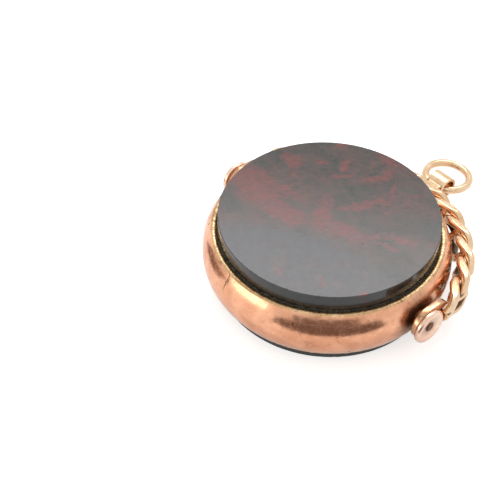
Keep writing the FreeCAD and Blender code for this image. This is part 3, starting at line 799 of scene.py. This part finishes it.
def chain_tree():
    """A row of half-twisted curb links round a bow, planed flat on four sides."""
    real = "NodeSocketFloat"
    half_turn = math.pi - 2 * FIRST_LINK
    pitch = half_turn / (LINK_COUNT - 1)
    sizes = [
        ("Bow Radius", real, BOW_RADIUS),
        ("Wire Radius", real, WIRE_RADIUS),
        ("Half Length", real, BOW_RADIUS * pitch / 2 + LINK_LAP),
        ("Half Width", real, LINK_HALF_WIDTH),
        ("Twist", real, LINK_TWIST),
        ("Planed Depth", real, PLANED_DEPTH),
        ("Planed Width", real, PLANED_WIDTH),
        ("Planed Softness", real, PLANED_SOFTNESS),
        ("First Angle", real, FIRST_LINK),
        ("Pitch", real, pitch),
        ("Head Clearance", real, HEAD_RADIUS + HEAD_CLEARANCE),
        ("Links", "NodeSocketInt", LINK_COUNT),
    ]
    tree = geometry_tree("curb_chain", sizes)
    given = add(tree, "NodeGroupInput").outputs

    def math_node(operation, first, second=0.0, third=0.0):
        return calculate(tree, operation, first, second, third)

    # One link's centre line
    circle = add(tree, "GeometryNodeCurvePrimitiveCircle", {"Resolution": LINK_STEPS})
    index = add(tree, "GeometryNodeInputIndex").outputs[0]
    angle = math_node("MULTIPLY", index, 2 * math.pi / LINK_STEPS)
    bend = math_node("SINE", math_node("MULTIPLY", angle, 2.0))
    outward = math_node("SUBTRACT", given["Bow Radius"], math_node("MULTIPLY", bend, given["Twist"]))
    along = math_node("MULTIPLY", math_node("COSINE", angle), given["Half Length"])
    up = math_node("MULTIPLY", math_node("SINE", angle), given["Half Width"])
    spot = add(tree, "ShaderNodeCombineXYZ", {0: outward, 1: along, 2: up})
    moved = {"Geometry": circle.outputs[0], "Position": spot.outputs[0]}
    path = add(tree, "GeometryNodeSetPosition", moved)
    section = {"Resolution": WIRE_STEPS, "Radius": given["Wire Radius"]}
    ring = add(tree, "GeometryNodeCurvePrimitiveCircle", section)
    sweep = {"Curve": path.outputs[0], "Profile Curve": ring.outputs[0], "Fill Caps": False}
    wire = add(tree, "GeometryNodeCurveToMesh", sweep)

    # Planed flats
    parts = split(tree, add(tree, "GeometryNodeInputPosition").outputs[0])
    half_depth = math_node("MULTIPLY", given["Planed Depth"], 0.5)
    half_width = math_node("MULTIPLY", given["Planed Width"], 0.5)
    soft = given["Planed Softness"]
    flat = math_node("SUBTRACT", parts[0], given["Bow Radius"])
    flat = math_node("SMOOTH_MIN", flat, half_depth, soft)
    flat = math_node("SMOOTH_MAX", flat, math_node("MULTIPLY", half_depth, -1.0), soft)
    flat = math_node("ADD", flat, given["Bow Radius"])
    level = math_node("SMOOTH_MIN", parts[2], half_width, soft)
    level = math_node("SMOOTH_MAX", level, math_node("MULTIPLY", half_width, -1.0), soft)
    planed_spot = add(tree, "ShaderNodeCombineXYZ", {0: flat, 1: parts[1], 2: level})
    planed = {"Geometry": wire.outputs[0], "Position": planed_spot.outputs[0]}
    link = add(tree, "GeometryNodeSetPosition", planed)

    # How far each point faces the middle of its own link, for the darker tone in the openings
    middle = add(tree, "ShaderNodeCombineXYZ", {0: given["Bow Radius"]})
    here = add(tree, "GeometryNodeInputPosition").outputs[0]
    inward = {0: middle.outputs[0], 1: here}
    inward = add(tree, "ShaderNodeVectorMath", inward, operation="SUBTRACT")
    inward = add(tree, "ShaderNodeVectorMath", {0: inward.outputs[0]}, operation="NORMALIZE")
    facing = {0: inward.outputs[0], 1: add(tree, "GeometryNodeInputNormal").outputs[0]}
    facing = add(tree, "ShaderNodeVectorMath", facing, operation="DOT_PRODUCT").outputs["Value"]
    stored = add(tree, "GeometryNodeStoreNamedAttribute", data_type="FLOAT", domain="POINT")
    tree.links.new(link.outputs[0], stored.inputs["Geometry"])
    stored.inputs["Name"].default_value = "hollow"
    tree.links.new(facing, stored.inputs["Value"])

    # The row, each link turned to its place round the bow
    count = {"Count": given["Links"], "Offset": (0.0, 0.0, 0.0)}
    points = add(tree, "GeometryNodeMeshLine", count)
    number = add(tree, "GeometryNodeInputIndex").outputs[0]
    turn = math_node("MULTIPLY_ADD", number, given["Pitch"], given["First Angle"])
    rotation = add(tree, "ShaderNodeCombineXYZ", {2: turn})
    placed = {
        "Points": points.outputs[0],
        "Instance": stored.outputs[0],
        "Rotation": rotation.outputs[0],
    }
    row = add(tree, "GeometryNodeInstanceOnPoints", placed)
    real_row = add(tree, "GeometryNodeRealizeInstances", {0: row.outputs[0]})

    # The end links are hollowed round the rivet heads
    ends = split(tree, add(tree, "GeometryNodeInputPosition").outputs[0])
    away = add(tree, "ShaderNodeCombineXYZ", {1: ends[1], 2: ends[2]})
    ratio = math_node("DIVIDE", given["Head Clearance"], length_of(tree, away.outputs[0]))
    ratio = math_node("MAXIMUM", ratio, 1.0)
    cleared = {
        0: ends[0],
        1: math_node("MULTIPLY", ends[1], ratio),
        2: math_node("MULTIPLY", ends[2], ratio),
    }
    cleared_spot = add(tree, "ShaderNodeCombineXYZ", cleared)
    hollow = {"Geometry": real_row.outputs[0], "Position": cleared_spot.outputs[0]}
    hollowed = add(tree, "GeometryNodeSetPosition", hollow)
    smooth = add(tree, "GeometryNodeSetShadeSmooth", {"Geometry": hollowed.outputs[0]})
    coated = {"Geometry": smooth.outputs[0], "Material": given["Material"]}
    finished = add(tree, "GeometryNodeSetMaterial", coated)
    add(tree, "NodeGroupOutput", {"Geometry": finished.outputs[0]})
    return tree


def grown_mesh(tree, name, material):
    """What a Geometry Nodes tree makes, as a plain mesh."""
    carrier = bpy.data.objects.new(name, bpy.data.meshes.new(name))
    bpy.context.scene.collection.objects.link(carrier)
    modifier = carrier.modifiers.new(name, "NODES")
    modifier.node_group = tree
    for item in tree.interface.items_tree:
        if item.item_type == "SOCKET" and item.in_out == "INPUT":
            value = material if item.name == "Material" else item.default_value
            modifier[item.identifier] = value
    graph = bpy.context.evaluated_depsgraph_get()
    mesh = bpy.data.meshes.new_from_object(carrier.evaluated_get(graph))
    bpy.data.objects.remove(carrier)
    mesh.name = name
    return mesh


chain = grown_mesh(chain_tree(), "curb_chain", chain_gold)
chain.transform(BOW)
links = [f"curb_link_{count:02d}" for count in range(1, LINK_COUNT + 1)]
new_piece("curb_chain", chain, chain_gold, "bow", links)


# Rivet heads, eyes, collars, lug and ring
def head_mesh(name, far):
    """A round-edged button with a dish and the peened pin's ring in it."""
    side = HEAD_RADIUS - HEAD_ROUND
    edge = HEAD_TOP - HEAD_ROUND
    floor = HEAD_TOP - DISH_DEPTH
    slope = ((DISH_RADIUS + PIN_RADIUS) / 2, floor + DISH_DEPTH / 3)
    outline = [
        (PIN_RADIUS, HEAD_FACE),
        (HEAD_RADIUS - HEAD_CHAMFER, HEAD_FACE),
        (HEAD_RADIUS, HEAD_FACE + HEAD_CHAMFER),
    ]
    corner = HEAD_ROUND * math.sqrt(0.5)
    outline += arc((HEAD_RADIUS, edge), (side + corner, edge + corner), (side, HEAD_TOP), 10)
    outline += arc((DISH_RADIUS, HEAD_TOP), slope, (PIN_RADIUS, floor), 12)

    def worn(angle, index, radius, height):
        if radius <= PIN_RADIUS:
            return radius, height
        return radius, height + 0.015 * MM * wave(angle, radius, 2.2, 5.0 + 7 * far)

    mesh = turned_mesh(name, outline, HEAD_STEPS, worn)
    turn = Matrix.Rotation(math.pi / 2, 4, "Y")
    if far:
        turn = Matrix.Rotation(math.pi, 4, "Z") @ turn
    mesh.transform(Matrix.Translation((0, 0, MIDDLE)) @ turn)
    smooth_mesh(mesh, 50)
    return mesh


for far, end in ((False, "near"), (True, "far")):
    name = f"{end}_dished_head"
    new_piece(name, head_mesh(name, far), head_gold, "disc", [f"{end}_rivet_head"])

BEVEL = {
    "width": FITTING_BEVEL,
    "segments": 3,
    "limit_method": "ANGLE",
    "angle_limit": math.radians(40),
}
# The collars take the near-black gold, which is painted shade in the gap between rim and eye plate
for end in ("near", "far"):
    for node, name, body, finish in (
        (f"{end}_bow_eye", f"{end}_eye_plate", "bow", fitting_gold),
        (f"{end}_pivot_collar", f"{end}_collar", "disc", shade_painted_gold),
    ):
        rounded = evaluated(merged_copy(node, name), name, ("BEVEL", BEVEL))
        smooth_mesh(rounded, 35)
        new_piece(name, rounded, finish, body, [node])

LUG_REMESH = ("REMESH", {"mode": "VOXEL", "voxel_size": LUG_GRID, "use_smooth_shade": True})
LUG_SMOOTH = ("SMOOTH", {"factor": 0.5, "iterations": 12})
lug = evaluated(merged_copy("apex_lug", "ring_lug"), "ring_lug", LUG_REMESH, LUG_SMOOTH)
new_piece("ring_lug", lug, plain_gold, "bow", ["apex_lug"])


def ring_mesh(name):
    """The round wire ring, a little worn where it hangs in the lug."""
    lowest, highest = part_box("suspension_ring")
    middle = (lowest + highest) / 2
    radius = (highest.x - lowest.x) / 2 - RING_WIRE
    outline = []
    for count in range(RING_WIRE_STEPS):
        angle = 2 * math.pi * count / RING_WIRE_STEPS
        outline.append((radius + RING_WIRE * math.cos(angle), RING_WIRE * math.sin(angle)))

    def worn(angle, index, across, height):
        side = 2 * math.pi * index / RING_WIRE_STEPS
        cut = 0.02 * wave(angle, height, 3.0, 12.0)
        return across + cut * MM * math.cos(side), height + cut * MM * math.sin(side)

    mesh = turned_mesh(name, outline, RING_STEPS, worn)
    mesh.transform(Matrix.Translation(middle) @ Matrix.Rotation(RING_HANG, 4, "X"))
    smooth_mesh(mesh)
    return mesh


ring = ring_mesh("hanging_ring")
new_piece("hanging_ring", ring, plain_gold, "ring", ["suspension_ring"])


# What stays as the CAD made it
for node, material in (
    ("cement_core", cement),
    ("rim_inner_collet", shade_painted_gold),
    ("near_pivot_pin", shade_painted_gold),
    ("far_pivot_pin", shade_painted_gold),
):
    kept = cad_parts[node]
    for slot in kept.material_slots:
        slot.link = "OBJECT"
        slot.material = material
    if not kept.material_slots:
        kept.data.materials.append(material)


# Floor, world, lamps and camera
def make_floor():
    """A plain pale floor that shows white and keeps the object's shadow."""
    material, tree = new_material("studio_floor")
    rays = add(tree, "ShaderNodeLightPath").outputs
    mirrored = calculate(tree, "MAXIMUM", rays["Is Glossy Ray"], rays["Is Transmission Ray"])
    seen = calculate(tree, "MULTIPLY_ADD", mirrored, FLOOR_MIRRORED, rays["Is Camera Ray"])
    cloud = grain(tree, millimetres(tree), 0.02, 2.0)
    colour = mixed(tree, cloud, (0.90, 0.90, 0.90), (0.92, 0.92, 0.92))
    matt = add(tree, "ShaderNodeBsdfDiffuse", {"Color": colour})
    lift = calculate(tree, "MULTIPLY", seen, FLOOR_LIFT)
    glow = add(tree, "ShaderNodeEmission", {"Strength": lift})
    both = add(tree, "ShaderNodeAddShader", {0: matt.outputs[0], 1: glow.outputs[0]})
    add(tree, "ShaderNodeOutputMaterial", {"Surface": both.outputs[0]})
    side = FLOOR_REACH
    mesh = bpy.data.meshes.new("floor")
    corners = [(-side, -side, 0), (side, -side, 0), (side, side, 0), (-side, side, 0)]
    mesh.from_pydata(corners, [], [(0, 1, 2, 3)])
    mesh.materials.append(material)
    floor = bpy.data.objects.new("floor", mesh)
    floor.location.z = min(0.0, cad_box[0].z) - 0.02 * MM
    bpy.context.scene.collection.objects.link(floor)


def make_world():
    """White where it is seen or mirrored, a plain soft level elsewhere."""
    world = bpy.data.worlds.new("studio")
    bpy.context.scene.world = world
    world.use_nodes = True
    tree = world.node_tree
    tree.nodes.clear()
    rays = add(tree, "ShaderNodeLightPath").outputs
    seen = calculate(tree, "MAXIMUM", rays["Is Camera Ray"], rays["Is Glossy Ray"])
    seen = calculate(tree, "MAXIMUM", seen, rays["Is Transmission Ray"])
    strength = calculate(tree, "MULTIPLY_ADD", seen, 1.0 - WORLD_LEVEL, WORLD_LEVEL)
    sky = add(tree, "ShaderNodeBackground", {"Color": (1, 1, 1, 1), "Strength": strength})
    add(tree, "ShaderNodeOutputWorld", {"Surface": sky.outputs[0]})


def direction(azimuth, elevation):
    """A unit vector; azimuth is in degrees from +X towards +Y."""
    a, e = math.radians(azimuth), math.radians(elevation)
    return Vector((math.cos(e) * math.cos(a), math.cos(e) * math.sin(a), math.sin(e)))


def place_panel(item, azimuth, elevation, distance):
    """Put a lamp or card on a sphere round the disc, facing it."""
    centre = Vector((0, 0, MIDDLE))
    away = direction(azimuth, elevation)
    item.location = centre + away * distance
    item.rotation_mode = "QUATERNION"
    item.rotation_quaternion = away.to_track_quat("Z", "Y")


def add_lamp(name, azimuth, elevation, distance, width, height, power, tint=(1, 1, 1)):
    """A soft rectangular lamp."""
    light = bpy.data.lights.new(name, "AREA")
    light.shape = "RECTANGLE"
    light.size = width
    light.size_y = height
    light.energy = power
    light.color = tint
    lamp = bpy.data.objects.new(name, light)
    lamp.visible_camera = False
    bpy.context.scene.collection.objects.link(lamp)
    place_panel(lamp, azimuth, elevation, distance)


def add_card(name, azimuth, elevation, distance, width, height, shade):
    """A dark card beside the set that only the polished surfaces mirror."""
    w, h = width / 2, height / 2
    card = show_card(name, [(-w, -h, 0), (w, -h, 0), (w, h, 0), (-w, h, 0)], shade)
    place_panel(card, azimuth, elevation, distance)


def show_card(name, corners, shade):
    """A flat card of one shade that only mirrors see."""
    material, tree = new_material(name)
    glow = add(tree, "ShaderNodeEmission", {"Color": (*shade, 1.0), "Strength": 1.0})
    add(tree, "ShaderNodeOutputMaterial", {"Surface": glow.outputs[0]})
    mesh = bpy.data.meshes.new(name)
    mesh.from_pydata(corners, [], [(0, 1, 2, 3)])
    mesh.materials.append(material)
    card = bpy.data.objects.new(name, mesh)
    card.visible_camera = False
    card.visible_diffuse = False
    card.visible_shadow = False
    bpy.context.scene.collection.objects.link(card)
    return card


def add_floor_card(name, azimuth, spread, near, far, shade):
    """A dark card lying before the object, from a near to a far distance."""
    left, right = direction(azimuth - spread, 0), direction(azimuth + spread, 0)
    corners = [left * near, left * far, right * far, right * near]
    show_card(name, [(c.x, c.y, CARD_HEIGHT) for c in corners], shade)


def make_camera():
    """The camera at the photographed angle."""
    data = bpy.data.cameras.new("camera")
    data.lens = CAMERA_LENS
    data.clip_start = 1 * MM
    camera = bpy.data.objects.new("camera", data)
    camera.location = CAMERA_PLACE
    aim = (CAMERA_AIM - CAMERA_PLACE).to_track_quat("-Z", "Y")
    camera.rotation_mode = "QUATERNION"
    camera.rotation_quaternion = aim @ Matrix.Rotation(CAMERA_ROLL, 3, "Z").to_quaternion()
    bpy.context.scene.collection.objects.link(camera)
    bpy.context.scene.camera = camera


make_floor()
make_world()
add_lamp("stone_softbox", 130, 57, 0.30, 0.26, 0.14, 0.36)
add_lamp("side_softbox", -108, 10, 0.14, 0.08, 0.05, 0.036, (1.0, 0.93, 0.82))
add_card("standing_card", -43, 5, 0.25, 0.24, 0.09, DARK_SHADE)
add_floor_card("lying_card", -41, 38, 0.031, 0.24, DARK_SHADE)
add_floor_card("left_card", -139, 13, 0.029, 0.095, (0.26, 0.19, 0.15))
make_camera()
bpy.context.scene.view_settings.view_transform = "Standard"
